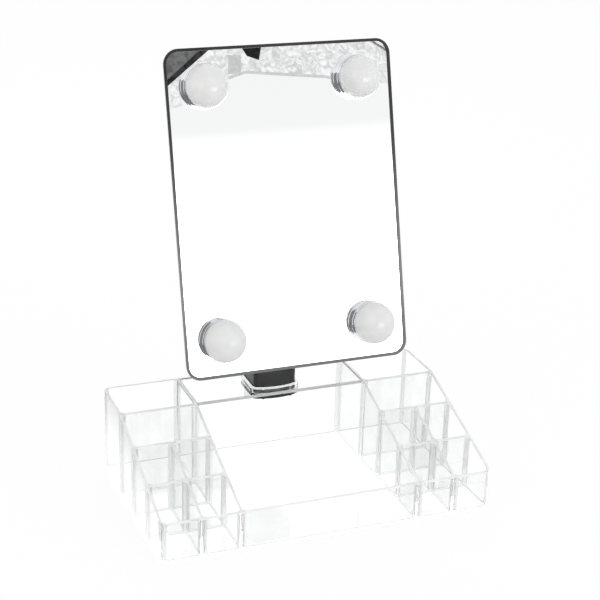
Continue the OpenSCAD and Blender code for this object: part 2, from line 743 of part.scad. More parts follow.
module rear_cover() color([0.12, 0.12, 0.13]) in_mirror() {
    difference() {
        union() {
            difference() {
                union() {
                    plate(glass_w, glass_h, glass_corner_r, cover_y, frame_depth);
                    plate(hump_w, hump_h, hump_corner_r, cover_y, hump_y);
                }
                plate(hump_w - 2 * cover_wall, hump_h - 2 * cover_wall, hump_corner_r - cover_wall,
                      cover_y - past, hump_y - cover_wall);
            }
            y_rod(hub_r, hub_front, hub_back);
            for (at = cover_screws_at)
                translate([at[0], 0, at[1]]) y_rod(boss_r, cover_y, hump_y - cover_wall / 2);
            for (side = [-1, 1])
                rotate([0, side * stop_angle, 0])
                    block([-turn_stop[0] / 2, hump_y - cover_wall / 2, stop_r],
                          [turn_stop[0] / 2, flange_y + turn_stop[2], stop_r + turn_stop[1]]);
        }
        y_rod(spindle_r + run, hub_front - past, hub_back + past);
        for (at = cover_screws_at)
            translate([at[0], 0, at[1]]) screw_bore(cover_y - past, screw_seat_y);
        translate([button_at[0], 0, button_at[1]])
            y_rod(button_r + slide_gap, hump_y - cover_wall - past, hump_y + past);
    }
}

module cover_screws() color([0.6, 0.6, 0.62]) in_mirror() {
    for (at = cover_screws_at)
        translate([at[0], 0, at[1]]) small_screw(glass_t + slide_gap, screw_seat_y);
}

// ---------- bulbs ----------

module bulb_globe(i) color([0.93, 0.93, 0.92]) at_bulb(i) {
    rotate_extrude() difference() {
        union() {
            intersection() {
                translate([0, dome_h]) circle(globe_r, $fn = 96);
                translate([0, globe_cut_h]) square(2 * globe_r);
            }
            translate([0, collar_h - skirt_h]) square([skirt_r, skirt_h + globe_wall / 2]);
        }
        intersection() {
            translate([0, dome_h]) circle(globe_r - globe_wall, $fn = 96);
            translate([0, globe_cut_h + globe_wall]) square(2 * globe_r);
        }
        translate([-past, collar_h - skirt_h - past]) square([skirt_r - globe_wall + past, 2 * skirt_h]);
        translate([-2 * globe_r, -globe_r]) square([2 * globe_r, 4 * globe_r]);
    }
}

module bulb_collar(i) color([0.85, 0.86, 0.88]) at_bulb(i) {
    rotate_extrude() {
        translate([collar_r - collar_wall, 0]) square([collar_wall, collar_h - collar_wall / 2]);
        translate([collar_r - collar_wall / 2, collar_h - collar_wall / 2]) circle(collar_wall / 2);
    }
}

module bulb_base(i) color([0.9, 0.9, 0.9]) at_bulb(i) {
    difference() {
        union() {
            cylinder(r = base_r, h = base_t);
            translate([0, 0, -stub_len]) cylinder(r = stub_r, h = stub_len + base_t / 2);
        }
        translate([0, 0, -stub_len - past]) cylinder(r = stub_bore_r, h = stub_len + base_t + 2 * past);
    }
}

module bulb_board(i) color([0.94, 0.94, 0.9]) at_bulb(i) {
    translate([0, 0, base_t]) {
        cylinder(r = base_r - 2 * slide_gap, h = bulb_board_t);
        for (k = [0:chips - 1])
            rotate([0, 0, k * 360 / chips]) translate([chip_ring_r, 0, 0])
                block([-chip[0] / 2, -chip[0] / 2, 0], [chip[0] / 2, chip[0] / 2, bulb_board_t + chip[1]]);
    }
}

module bulb_nuts() color([0.6, 0.6, 0.62]) {
    for (i = [0:3])
        at_bulb(i) translate([0, 0, -stub_len]) difference() {
            cylinder(r = stub_nut[0], h = stub_nut[1], $fn = 6);
            translate([0, 0, -past]) cylinder(r = stub_r + run, h = stub_nut[1] + 2 * past);
        }
}

// A wire from one point to the other of the mirror's frame, with round ends
module wire(from, to) {
    span = to - from;
    translate(from) {
        sphere(wire_r, $fn = 24);
        rotate([0, acos(span[2] / norm(span)), atan2(span[1], span[0])])
            cylinder(r = wire_r, h = norm(span), $fn = 24);
    }
    translate(to) sphere(wire_r, $fn = 24);
}

module bulb_wiring() color([0.75, 0.2, 0.18]) in_mirror() {
    x = bulb_x;
    z = bulb_z;
    start_y = stub_len + wire_r + slip;
    reach = control_board_size[0] / 2 - 2 * wire_r;
    for (side = [-1, 1]) {
        end_x = button_at[0] + side * reach;
        for (end = [-1, 1]) wire([side * x, start_y, end * z], [side * x, wire_y, end * z]);
        wire([side * x, wire_y, -z], [side * x, wire_y, z]);
        wire([side * x, wire_y, button_at[1]], [end_x, wire_y, button_at[1]]);
        wire([end_x, wire_y, button_at[1]], [end_x, control_y + wire_r + slip, button_at[1]]);
    }
}

module control_board() color([0.1, 0.35, 0.2]) in_mirror() {
    w = control_board_size[0];
    h = control_board_size[1];
    translate([button_at[0], 0, button_at[1]]) {
        block([-w / 2, cover_y, -h / 2], [w / 2, control_y, h / 2]);
        block([-switch_size[0] / 2, control_y - eps, -switch_size[0] / 2],
              [switch_size[0] / 2, control_y + switch_size[1], switch_size[0] / 2]);
        y_rod(switch_stem_r, control_y, button_inner_y - button_travel - slip);
        for (side = [-1, 1])
            translate([side * w / 4, control_y, h / 3])
                block([-driver_chip[0] / 2, -eps, -driver_chip[1] / 2],
                      [driver_chip[0] / 2, driver_chip[2], driver_chip[1] / 2]);
    }
}

module dimmer_button() color([0.3, 0.3, 0.32]) in_mirror() {
    translate([button_at[0], 0, button_at[1]]) {
        y_rod(button_r, button_inner_y, hump_y + button_proud);
        y_rod(button_r + button_collar[0], button_inner_y, button_inner_y + button_collar[1]);
    }
}

// ---------- assembly ----------

organizer_tray();
mirror_shelf();
foot_pad();
post_front_shell();
post_rear_shell();
post_screws();
battery_door();
cell_tray();
for (i = [0:3]) cell(i);
cell_contacts();
post_head();
head_screws();
hinge_bolt();
hinge_nut();
hinge_washers();
tilt_bracket();
turn_washers();
spindle_nut();
mirror_frame();
mirror_glass();
backing_board();
rear_cover();
cover_screws();
for (i = [0:3]) bulb_globe(i);
for (i = [0:3]) bulb_collar(i);
for (i = [0:3]) bulb_base(i);
for (i = [0:3]) bulb_board(i);
bulb_nuts();
bulb_wiring();
control_board();
dimmer_button();
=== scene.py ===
# %% [markdown]
# # A clear make-up organizer with a bulb-lit mirror
#
# The real object is a tray of clear moulded plastic with two blocks of compartments and an open bay between
# them. A clear shelf bridges the back of the bay, and a black post stands in a pocket in that shelf. The post
# carries a mirror in a thin black frame, with four milky bulbs in chrome collars. This file dresses the packed
# model: it keeps each piece where the model has it, and gives the pieces their rounded edges and their finish.

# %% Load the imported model
import json
from math import cos, pi, radians, sin

import bmesh
import bpy
from mathutils import Matrix, Vector


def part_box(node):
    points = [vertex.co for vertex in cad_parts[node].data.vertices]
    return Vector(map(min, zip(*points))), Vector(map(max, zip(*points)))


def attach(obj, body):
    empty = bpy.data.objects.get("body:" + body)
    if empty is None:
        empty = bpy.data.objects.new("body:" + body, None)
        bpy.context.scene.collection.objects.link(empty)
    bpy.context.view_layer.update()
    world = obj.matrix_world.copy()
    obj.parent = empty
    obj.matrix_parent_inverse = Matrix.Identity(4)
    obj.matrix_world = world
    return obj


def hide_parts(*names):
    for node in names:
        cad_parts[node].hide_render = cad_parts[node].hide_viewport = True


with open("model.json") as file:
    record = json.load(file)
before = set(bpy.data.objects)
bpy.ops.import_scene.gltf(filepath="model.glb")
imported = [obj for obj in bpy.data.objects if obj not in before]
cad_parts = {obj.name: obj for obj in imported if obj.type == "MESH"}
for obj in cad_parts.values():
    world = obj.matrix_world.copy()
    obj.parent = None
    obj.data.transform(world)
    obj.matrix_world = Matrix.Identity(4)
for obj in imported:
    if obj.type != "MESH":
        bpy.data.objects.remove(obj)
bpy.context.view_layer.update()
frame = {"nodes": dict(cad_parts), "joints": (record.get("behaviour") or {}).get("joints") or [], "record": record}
mm = 0.001

# %% [markdown]
# ## The camera
#
# The camera could be aimed by eye, but the straight edges of the tray give its place exactly. It stands to the
# left of the object, above it, and turned a little about its own view axis. Its place is written as a turn and
# a height round a point above the tray, so that a reader can change the view without working out a matrix.

# %% Camera
VIEW_TURN, VIEW_HEIGHT, VIEW_ROLL = radians(-22.13), radians(21.49), radians(1.82)
VIEW_DISTANCE = 1.3505
VIEW_CENTRE = Vector((0, 0, 0.1))
VIEW_OFFSET = Vector((-3.43 * mm, -75.45 * mm))
LENS_MM, SENSOR_MM = 92.81, 36
NEAREST, FURTHEST = 0.05, 50

towards_camera = Vector((sin(VIEW_TURN) * cos(VIEW_HEIGHT), -cos(VIEW_TURN) * cos(VIEW_HEIGHT),
                         sin(VIEW_HEIGHT)))
level_right = Vector((cos(VIEW_TURN), sin(VIEW_TURN), 0))
level_up = towards_camera.cross(level_right)
camera_right = level_right * cos(VIEW_ROLL) + level_up * sin(VIEW_ROLL)
camera_up = level_up * cos(VIEW_ROLL) - level_right * sin(VIEW_ROLL)

camera = bpy.data.objects.new("camera", bpy.data.cameras.new("camera"))
camera.data.lens, camera.data.sensor_width = LENS_MM, SENSOR_MM
camera.data.clip_start, camera.data.clip_end = NEAREST, FURTHEST
camera.matrix_world = Matrix((camera_right, camera_up, towards_camera)).transposed().to_4x4()
camera.location = (VIEW_CENTRE + towards_camera * VIEW_DISTANCE
                   - camera_right * VIEW_OFFSET.x - camera_up * VIEW_OFFSET.y)
bpy.context.scene.collection.objects.link(camera)
bpy.context.scene.camera = camera
print("camera at", [round(v, 3) for v in camera.location])

# %% [markdown]
# ## A helper for finishes
#
# Every finish is made from nodes that read the piece's own coordinates, so it stays on the piece when a joint
# moves. One helper makes a surface whose colour drifts a little between two tones, whose roughness drifts too,
# and whose grain is a fine bump. Numbers that are the same all over are set straight on the shader. Each
# finish has the name of the material slot in the model that it is for, and is kept under that name.

# %% Helper for finishes
CLOUD_LOW, CLOUD_HIGH, CLOUD_DETAIL = 0.35, 0.65, 3
BUMP_DEPTH = 0.1 * mm
finishes = {}


def map_range(tree, from_low, from_high, to_low, to_high):
    """A node that turns values between the first two levels into values between the last two."""
    node = tree.nodes.new("ShaderNodeMapRange")
    node.inputs["From Min"].default_value, node.inputs["From Max"].default_value = from_low, from_high
    node.inputs["To Min"].default_value, node.inputs["To Max"].default_value = to_low, to_high
    return node


def finish(name, dark, pale, rough, drift=0.03, grain=0.0, grain_mm=0.4, drift_mm=20, **sockets):
    """A surface between two tones, with roughness from rough to rough + drift and a bump of the given grain."""
    material = finishes[name] = bpy.data.materials.new(name)
    material.use_nodes = True
    tree = material.node_tree
    nodes, links = tree.nodes, tree.links
    shader = nodes["Principled BSDF"]
    place = nodes.new("ShaderNodeTexCoord").outputs["Object"]

    cloud = nodes.new("ShaderNodeTexNoise")
    cloud.inputs["Scale"].default_value = 1 / (drift_mm * mm)
    cloud.inputs["Detail"].default_value = CLOUD_DETAIL
    links.new(place, cloud.inputs["Vector"])

    tone = nodes.new("ShaderNodeValToRGB")
    first, last = tone.color_ramp.elements
    first.position, last.position = CLOUD_LOW, CLOUD_HIGH
    first.color, last.color = (*dark, 1), (*pale, 1)
    links.new(cloud.outputs["Fac"], tone.inputs["Fac"])
    links.new(tone.outputs["Color"], shader.inputs["Base Color"])

    gloss = map_range(tree, 0, 1, rough, rough + drift)
    links.new(cloud.outputs["Fac"], gloss.inputs["Value"])
    links.new(gloss.outputs["Result"], shader.inputs["Roughness"])

    if grain:
        speckle = nodes.new("ShaderNodeTexNoise")
        speckle.inputs["Scale"].default_value = 1 / (grain_mm * mm)
        links.new(place, speckle.inputs["Vector"])
        bump = nodes.new("ShaderNodeBump")
        bump.inputs["Strength"].default_value = grain
        bump.inputs["Distance"].default_value = BUMP_DEPTH
        links.new(speckle.outputs["Fac"], bump.inputs["Height"])
        links.new(bump.outputs["Normal"], shader.inputs["Normal"])
    for socket, value in sockets.items():
        shader.inputs[socket.replace("_", " ")].default_value = value

# %% [markdown]
# ## Clear plastic
#
# Moulded clear plastic is see-through on its faces, and grey where several walls lie behind each other, because
# each one keeps back a little light. So its colour is a little below white. Its faces are not quite flat, which
# the wide, weak bump gives. One finish for the whole tray would be simpler, but a perfectly clear rim traps
# light and turns black, while a real rim looks pale grey from the light that bends through it. So the rims and
# the sole get a greyer, partly matt finish whose grey is painted shade, and the upright corners and the feet of
# the walls get a paler painted grey that lies between the two.

# %% Clear plastic
CLEAR_BEND = 1.49
CLEAR_FINISHES = ["clear_plastic", "clear_painted_grey", "clear_painted_pale_grey"]
# Places of the two finishes with painted grey shade among a clear piece's materials.
PAINTED_GREY, PAINTED_PALE_GREY = 1, 2

finish("clear_plastic", (0.895, 0.90, 0.90), (0.925, 0.93, 0.93), 0.0, drift=0.03, grain=0.15, grain_mm=18,
       Transmission_Weight=1.0, IOR=CLEAR_BEND)
# Painted shade: a greyer, partly matt copy of the clear plastic for the rims, the sole and narrow top faces.
finish("clear_painted_grey", (0.78, 0.785, 0.785), (0.84, 0.845, 0.845), 0.35, drift=0.1,
       Transmission_Weight=0.3, IOR=CLEAR_BEND)
# Paler painted shade: a copy between the two for the upright corners and the feet of the walls.
finish("clear_painted_pale_grey", (0.90, 0.905, 0.905), (0.94, 0.945, 0.945), 0.2, drift=0.1,
       Transmission_Weight=0.62, IOR=CLEAR_BEND)
print("clear finishes:", ", ".join(CLEAR_FINISHES))

# %% [markdown]
# ## Black parts
#
# The post, its door and the rear cover are moulded black plastic with a fine grain. The bracket behind the
# mirror is rougher, the foot stands on a soft pad, and the mirror's frame is glossy. One black for all of them
# would be quicker, but black shows little colour, so roughness and grain are what tell such parts apart.

# %% Black finishes
finish("black_plastic", (0.016, 0.016, 0.018), (0.022, 0.022, 0.024), 0.28, drift=0.1, grain=0.3, grain_mm=0.5)
finish("frame_black", (0.014, 0.014, 0.016), (0.02, 0.02, 0.022), 0.1, drift=0.06)
finish("black_bracket", (0.022, 0.022, 0.024), (0.03, 0.03, 0.032), 0.38, drift=0.1, grain=0.5, grain_mm=0.6)
finish("soft_pad", (0.03, 0.03, 0.032), (0.05, 0.05, 0.052), 0.8, grain=0.6, grain_mm=0.8)
finish("button_grey", (0.07, 0.07, 0.075), (0.09, 0.09, 0.095), 0.45, grain=0.4)
print(len(finishes), "finishes so far")

# %% [markdown]
# ## Mirror, collars and bulbs
#
# The mirror is silvered glass and the collars are chrome, so both are fully metallic and show little but what
# they reflect. The bulbs are off, and look white because light spreads under their milky surface. A plain white
# paint would look chalky, so some of that spreading is kept, over 4 mm, with a soft gloss on top.

# %% Mirror, chrome and milky plastic
MILKY_DEPTH = 0.004

finish("mirror_glass", (0.93, 0.935, 0.94), (0.94, 0.945, 0.95), 0.0, drift=0.002, drift_mm=300, Metallic=1.0)
finish("chrome", (0.66, 0.67, 0.69), (0.74, 0.75, 0.77), 0.06, drift=0.05, Metallic=1.0)
finish("milky_plastic", (0.74, 0.74, 0.735), (0.77, 0.77, 0.765), 0.12, drift=0.04, drift_mm=12,
       Subsurface_Weight=0.3, Subsurface_Radius=(1, 0.95, 0.9), Subsurface_Scale=MILKY_DEPTH,
       Specular_IOR_Level=0.35)
print(len(finishes), "finishes so far")

# %% [markdown]
# ## Working parts
#
# Screws, washers, cells, boards and wires do their work inside the post and behind the mirror, where little of
# them shows. They keep the model's own shapes, and each gets the colour and the gloss of what it is made of.

# %% Finishes of the working parts
finish("zinc_screw", (0.5, 0.5, 0.51), (0.62, 0.62, 0.63), 0.25, drift=0.15, drift_mm=2, Metallic=1.0)
finish("contact_metal", (0.6, 0.56, 0.48), (0.7, 0.67, 0.6), 0.3, drift=0.1, Metallic=1.0)
finish("washer_plastic", (0.72, 0.72, 0.68), (0.8, 0.8, 0.76), 0.5, grain=0.2)
finish("backing_board", (0.1, 0.1, 0.11), (0.14, 0.14, 0.15), 0.6, grain=0.3)
finish("battery_cell", (0.12, 0.12, 0.13), (0.3, 0.3, 0.32), 0.3, drift_mm=8)
finish("bulb_board", (0.8, 0.8, 0.76), (0.86, 0.86, 0.82), 0.4)
finish("white_plastic", (0.74, 0.74, 0.73), (0.8, 0.8, 0.79), 0.4, grain=0.2)
finish("wire", (0.35, 0.03, 0.02), (0.45, 0.04, 0.03), 0.5)
finish("circuit_board", (0.015, 0.09, 0.04), (0.02, 0.13, 0.06), 0.35)

slot_of = {part["node"]: part["material_slot"] for part in frame["record"]["subparts"]}
for name, node in frame["nodes"].items():
    node.data.materials.clear()
    node.data.materials.append(finishes[slot_of[name]])
print(len(slot_of), "nodes dressed in", len(set(slot_of.values())), "finishes")

# %% [markdown]
# ## A helper that puts a finished piece in place
#
# A piece that is made here stands for a piece of the model, moves with the same body and has its finish from
# the same slot. Its mesh is drawn in the model's own coordinates, so nothing has to be moved. Faces that meet
# at a small angle are shaded as one smooth surface. On clear plastic that angle is smaller, because a bent
# shading there would bend what is seen through it.

# %% Helper that puts a piece in place
CREASE, CLEAR_CREASE = radians(35), radians(10)
body_of = {n: body for body, members in frame["record"]["behaviour"]["bodies"].items() for n in members}


def put_in_place(bm, name, body, slot, replaced):
    """Makes a piece of a finished bmesh, rides it on its body and lets it stand for the model's nodes."""
    mesh = bpy.data.meshes.new(name)
    bm.to_mesh(mesh)
    bm.free()
    mesh.shade_smooth()
    mesh.set_sharp_from_angle(angle=CLEAR_CREASE if slot == "clear_plastic" else CREASE)
    for each in CLEAR_FINISHES if slot == "clear_plastic" else [slot]:
        mesh.materials.append(finishes[each])
    piece = bpy.data.objects.new(name, mesh)
    bpy.context.scene.collection.objects.link(piece)
    weight = piece.modifiers.new("even_shading", "WEIGHTED_NORMAL")
    weight.keep_sharp = True
    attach(piece, body)
    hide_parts(*replaced)
    print(f"{name}: {len(mesh.polygons)} faces")

# %% [markdown]
# ## A helper that rounds the edges of a piece
#
# No moulded or turned edge is truly sharp, and a round edge is what catches the light. The model's piece has
# the right form but sharp edges. So a copy of its mesh is merged, its flat parts are joined into single faces,
# and the sharp edges are bevelled. On a clear piece, the narrow faces near the top are its rims, and they get
# the painted grey that stands for the grey of light bending through a real rim.

# %% Helper that rounds edges
MERGE_WITHIN, FLAT = 0.005 * mm, radians(0.5)
SHARP, EDGE_STEPS = radians(30), 2
NARROW = 3.2 * mm


def give_painted_grey(bm, is_rim):
    """Gives the faces that pass the test the painted grey shade of a clear piece's rims."""
    bm.normal_update()
    for face in filter(is_rim, bm.faces):
        face.material_index = PAINTED_GREY


def rounded_copy(node, width, shaped=None):
    """Makes a piece like the model's node, reshaped if asked, with every sharp edge rounded."""
    bm = bmesh.new()
    bm.from_mesh(frame["nodes"][node].data)
    bmesh.ops.remove_doubles(bm, verts=bm.verts, dist=MERGE_WITHIN)
    bmesh.ops.dissolve_limit(bm, angle_limit=FLAT, verts=bm.verts, edges=bm.edges)
    if shaped:
        shaped(bm)
    sharp = [e for e in bm.edges if e.is_manifold and e.calc_face_angle() > SHARP]
    bmesh.ops.bevel(bm, geom=sharp, affect="EDGES", offset=width, segments=EDGE_STEPS, profile=0.5,
                    material=-1, clamp_overlap=True)
    # The narrow faces near the top of a clear piece get the painted grey shade.
    if slot_of[node] == "clear_plastic":
        top = max(v.co.z for v in bm.verts)
        give_painted_grey(bm, lambda face: 2 * face.calc_area() < NARROW * face.calc_perimeter()
                  and face.calc_center_median().z > top - NARROW)
    put_in_place(bm, node + "_rounded", body_of[node], slot_of[node], [node])

# %% [markdown]
# ## The tray's sizes
#
# The tray is one moulding: a bay in the middle, and on each side a back compartment, a second one in front of
# it, and two rows of small ones in pairs. The model gives the tray's outer box. Only the sizes that the box
# doesn't give are written here, and the rest follows from them, so that the compartments always fill the tray.

# %% Tray sizes
WALL, FLOOR = 2.5 * mm, 3 * mm
FRONT_HEIGHT = 37 * mm
BAY_WIDTH = 158 * mm
BACK_CELL_DEPTH, SECOND_CELL_DEPTH = 53 * mm, 36.5 * mm
SMALL_ROWS, WALLS_ACROSS_DEPTH = 2, 5

tray_low, tray_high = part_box("organizer_tray")
front_y, back_y = tray_low.y, tray_high.y
break_y = back_y - WALL - BACK_CELL_DEPTH
small_depth = (back_y - front_y - WALLS_ACROSS_DEPTH * WALL - BACK_CELL_DEPTH - SECOND_CELL_DEPTH) / SMALL_ROWS
side_width = tray_high.x - BAY_WIDTH / 2 - 2 * WALL
small_width = (side_width - WALL) / 2


def compartments():
    """The clear rectangle of each compartment, as low x, high x, low y, high y."""
    rows = [(front_y + WALL, small_depth), (front_y + 2 * WALL + small_depth, small_depth),
            (front_y + 3 * WALL + 2 * small_depth, SECOND_CELL_DEPTH), (break_y, BACK_CELL_DEPTH)]
    found = [(-BAY_WIDTH / 2, BAY_WIDTH / 2, front_y + WALL, back_y - WALL)]
    for side in (-1, 1):
        near, far = side * (BAY_WIDTH / 2 + WALL), side * (tray_high.x - WALL)
        for row, (y, depth) in enumerate(rows):
            cuts = [(near, far)]
            if row < SMALL_ROWS:
                cuts = [(near, near + side * small_width), (far - side * small_width, far)]
            found += [(min(cut), max(cut), y, y + depth) for cut in cuts]
    return found


cells = compartments()
print(len(cells), "compartments, the small ones in mm:", [round(v / mm, 1) for v in (small_width, small_depth)])

# %% [markdown]
# ## The tray as a block
#
# The tray could be put together from single walls, but where two walls of clear plastic meet, the joint would
# show. So it starts as one solid block. A cut across its top marks where the slope begins, and the front edge
# of the top is brought down.

# %% Block with a sloping top
SAME_POINT, SAME_LEVEL, MARGIN = 0.001 * mm, 0.01 * mm, 1 * mm
LEAST_UPWARD = 0.5


def upward_faces():
    return [f for f in tray.faces if f.normal.z > LEAST_UPWARD]


def cut_top(axis, line):
    """Cuts the upward faces of the tray where x (axis 0) or y (axis 1) has the given value."""
    top = upward_faces()
    around = dict.fromkeys([e for f in top for e in f.edges] + [v for f in top for v in f.verts])
    place, direction = Vector((0, 0, 0)), Vector((0, 0, 0))
    place[axis], direction[axis] = line, 1
    bmesh.ops.bisect_plane(tray, geom=top + list(around), plane_co=place, plane_no=direction, dist=SAME_POINT)


tray = bmesh.new()
bmesh.ops.create_cube(tray, size=1, matrix=Matrix.Translation((tray_low + tray_high) / 2)
                      @ Matrix.Diagonal((*(tray_high - tray_low), 1)))
cut_top(1, break_y)
for corner in [v for v in tray.verts if v.co.y < front_y + MARGIN and v.co.z > FRONT_HEIGHT]:
    corner.co.z = FRONT_HEIGHT
tray.normal_update()
print("block with", len(tray.faces), "faces")

# %% [markdown]
# ## The compartments
#
# The top is cut along the faces of every wall. The pieces of the top that fall in a compartment are then pushed
# down to the floor, which leaves the walls standing between them, all in one closed body.

# %% Push the compartments down
for axis, lines in ((0, {x for c in cells for x in c[:2]}), (1, {y for c in cells for y in c[2:]})):
    for line in sorted(lines):
        cut_top(axis, line)

for low_x, high_x, low_y, high_y in cells:
    inside = [f for f in upward_faces() if low_x < f.calc_center_median().x < high_x
              and low_y < f.calc_center_median().y < high_y]
    pushed = bmesh.ops.extrude_face_region(tray, geom=inside)["geom"]
    for vert in (v for v in pushed if isinstance(v, bmesh.types.BMVert)):
        vert.co.z = FLOOR
    bmesh.ops.delete(tray, geom=[f for f in inside if f.is_valid], context="FACES")
tray.normal_update()
print("tray with", len(tray.faces), "faces after the compartments")

# %% [markdown]
# ## The open top
#
# The cut lines still run over the top and down the walls. A bevel that meets such a line can fold a face over
# itself, which shows as a black speck in clear plastic. So the top is taken off for a while, and the lines that
# divide flat walls are dissolved.

# %% Take the top off
top = [f for f in upward_faces() if f.calc_center_median().z > FLOOR + MARGIN]
bmesh.ops.delete(tray, geom=top, context="FACES_ONLY")
bmesh.ops.delete(tray, geom=[e for e in tray.edges if not e.link_faces], context="EDGES")
flush = [e for e in tray.edges if e.is_manifold and e.calc_face_angle() < FLAT]
bmesh.ops.dissolve_edges(tray, edges=flush, use_verts=False)
straight = [v for v in tray.verts if len(v.link_edges) == 2 and v.calc_edge_angle() < FLAT]
bmesh.ops.dissolve_verts(tray, verts=straight)
tray.normal_update()
print("edges open at the top after the cuts:", sum(e.is_boundary for e in tray.edges))

# %% [markdown]
# ## Rounded corners and feet
#
# A moulded tray has wide rounds at its four outer corners, smaller ones where its walls meet, and a fine round
# where each wall stands on the floor. All are bevels in many steps, so that they bend light smoothly. The
# upright ones come first, so that the ones at the floor can run round them.

# %% Round the upright corners
OUTER_CORNER, CELL_CORNER, CORNER_STEPS = 8 * mm, 3 * mm, 12


def turning(edge, least=SHARP):
    return edge.is_manifold and edge.calc_face_angle() > least


def is_upright(edge):
    along = edge.verts[0].co - edge.verts[1].co
    return abs(along.z) > MARGIN and along.xy.length < SAME_LEVEL


def is_outer(edge):
    place = edge.verts[0].co
    return abs(place.x) > tray_high.x - MARGIN and not front_y + MARGIN < place.y < back_y - MARGIN


def round_edges(chosen, radius, steps, finish_index):
    """Rounds edges of the tray and gives the new faces one of the clear finishes."""
    made = bmesh.ops.bevel(tray, geom=chosen, affect="EDGES", offset=radius, segments=steps, profile=0.5,
                           material=-1)
    for face in made["faces"]:
        face.material_index = finish_index
    tray.normal_update()


uprights = [e for e in tray.edges if is_upright(e) and turning(e)]
outer, inner = [e for e in uprights if is_outer(e)], [e for e in uprights if not is_outer(e)]
print("upright corners:", len(outer), "outer,", len(inner), "inner")
round_edges(outer, OUTER_CORNER, CORNER_STEPS, 0)
# The rounds of the inner corners get the paler painted grey, for the grey band that light bending through them
# gives.
round_edges(inner, CELL_CORNER, CORNER_STEPS, PAINTED_PALE_GREY)

# %% Round the feet of the walls and the sole
LEVEL_TURN = radians(50)
# The feet of the walls get the paler painted grey, and the sole gets the painted grey shade of the rims.
ROUNDS_BY_LEVEL = {"feet of the walls": (FLOOR, 0.8 * mm, 3, PAINTED_PALE_GREY), "sole": (0, 0.5 * mm, 2, PAINTED_GREY)}

for part, (height, radius, steps, finish_index) in ROUNDS_BY_LEVEL.items():
    chosen = [e for e in tray.edges if turning(e, LEVEL_TURN)
              and all(abs(v.co.z - height) < SAME_LEVEL for v in e.verts)]
    round_edges(chosen, radius, steps, finish_index)
    print(part, len(chosen), "edges")

# %% [markdown]
# ## The top again
#
# The open top is filled again between the rounded corners. Its back part is level and the rest slopes, so the
# two parts are filled one by one. Between them a short edge is drawn across each wall where the slope begins.

# %% Fill the top
ACROSS_A_WALL = 3 * CELL_CORNER


def is_behind(edge):
    """Whether an edge lies behind the line where the slope begins."""
    return (edge.verts[0].co.y + edge.verts[1].co.y) / 2 > break_y + SAME_POINT


border = [e for e in tray.edges if e.is_boundary]
on_fold = sorted({v for e in border for v in e.verts if abs(v.co.y - break_y) < SAME_LEVEL},
                 key=lambda v: v.co.x)
fold = [tray.edges.new((a, b)) for a, b in zip(on_fold, on_fold[1:])
        if (a.co - b.co).length < ACROSS_A_WALL and not any(b in e.verts for e in a.link_edges)]
rim_faces = []
for outline in ([e for e in border if is_behind(e)], [e for e in border if not is_behind(e)]):
    made = bmesh.ops.triangle_fill(tray, use_beauty=True, edges=outline + fold, normal=(0, 0, 1))
    rim_faces += [g for g in made["geom"] if isinstance(g, bmesh.types.BMFace)]
tray.normal_update()
facing_down = sum(f.normal.z < 0 for f in rim_faces)
print(len(fold), "fold edges,", len(rim_faces), "rim faces, facing down:", facing_down)

# %% [markdown]
# ## Rounded rims
#
# A bevel would have to deal with every little edge of the rounded corners at once. It is safer to inset the
# whole top twice and to lower the outer rings, which gives a quarter circle in two steps.

# %% Round the rims
RIM_ROUND, HALF_WAY = 0.5 * mm, cos(pi / 4)
LEAST_RIM_UPWARD = 0.2

drops = {}
for share, drop in ((1 - HALF_WAY, 1), (HALF_WAY, 1 - HALF_WAY)):
    ring = bmesh.ops.inset_region(tray, faces=rim_faces, thickness=RIM_ROUND * share, use_even_offset=True)
    level_verts = {v for f in rim_faces for v in f.verts}
    drops.update({v: drop * RIM_ROUND for f in ring["faces"] for v in f.verts if v not in level_verts})
for vert, drop in drops.items():
    vert.co.z -= drop
print("open edges at the end:", sum(not e.is_manifold for e in tray.edges))
# The upward faces of the rims get the painted grey shade.
give_painted_grey(tray, lambda face: face.normal.z > LEAST_RIM_UPWARD
          and face.calc_center_median().z > FLOOR + MARGIN)
put_in_place(tray, "clear_tray", "tray", "clear_plastic", ["organizer_tray"])

# %% [markdown]
# ## Shelf, post and rear parts
#
# These pieces keep the model's form and only lose their sharp edges. The moulded clear shelf has fine edges,
# and the black parts have softer ones.

# %% Rounded pieces
EDGE_ROUND = {"mirror_shelf": 0.4, "post_front_shell": 0.5, "post_rear_shell": 0.4, "post_head": 0.4,
              "battery_door": 0.4, "tilt_bracket": 0.5, "rear_cover": 0.5, "dimmer_button": 0.3,
              "foot_pad": 0.3}
for name, radius in EDGE_ROUND.items():
    rounded_copy(name, radius * mm)

# %% [markdown]
# ## The mirror's own axes
#
# The mirror leans back and can turn, so its pieces are easier to draw flat and then set in place. The packed
# model says where the glass is and which way it faces, because the mirror turns about that line.

# %% Glass axes
turn = next(joint for joint in frame["joints"] if joint["name"] == "mirror_turn")
glass_out = Vector(turn["axis"]).normalized()
glass_across = Vector((1, 0, 0))
glass_up = glass_out.cross(glass_across)
glass_turn = Matrix((glass_across, glass_up, glass_out)).transposed().to_4x4()


def reach(node, direction):
    """How far a node of the model reaches along a direction, as lowest and highest."""
    along = [v.co.dot(direction) for v in frame["nodes"][node].data.vertices]
    return min(along), max(along)


glass_low, glass_high = reach("mirror_glass", glass_up)
glass_centre = glass_up * (glass_low + glass_high) / 2 + glass_out * reach("mirror_glass", glass_out)[1]
print("centre of the glass in mm:", [round(v / mm, 1) for v in glass_centre])

# %% [markdown]
# ## The mirror's frame
#
# The frame is a thin black moulding that leans inwards towards its back, so that from the front only its lip
# shows. The model's frame has straight sides. So the points of its outer skin are moved inwards by their depth
# behind the front, and then its edges are rounded as on the other pieces.

# %% Mirror frame
FRAME_LEAN, SKIN = 1.2 * mm, 0.3 * mm
FRAME_CORNER, FRAME_ROUND = 13 * mm, 0.5 * mm

frame_half = Vector((reach("mirror_frame", glass_across)[1],
                     reach("mirror_frame", glass_up)[1] - glass_centre.dot(glass_up)))
frame_back, frame_front = reach("mirror_frame", glass_out)


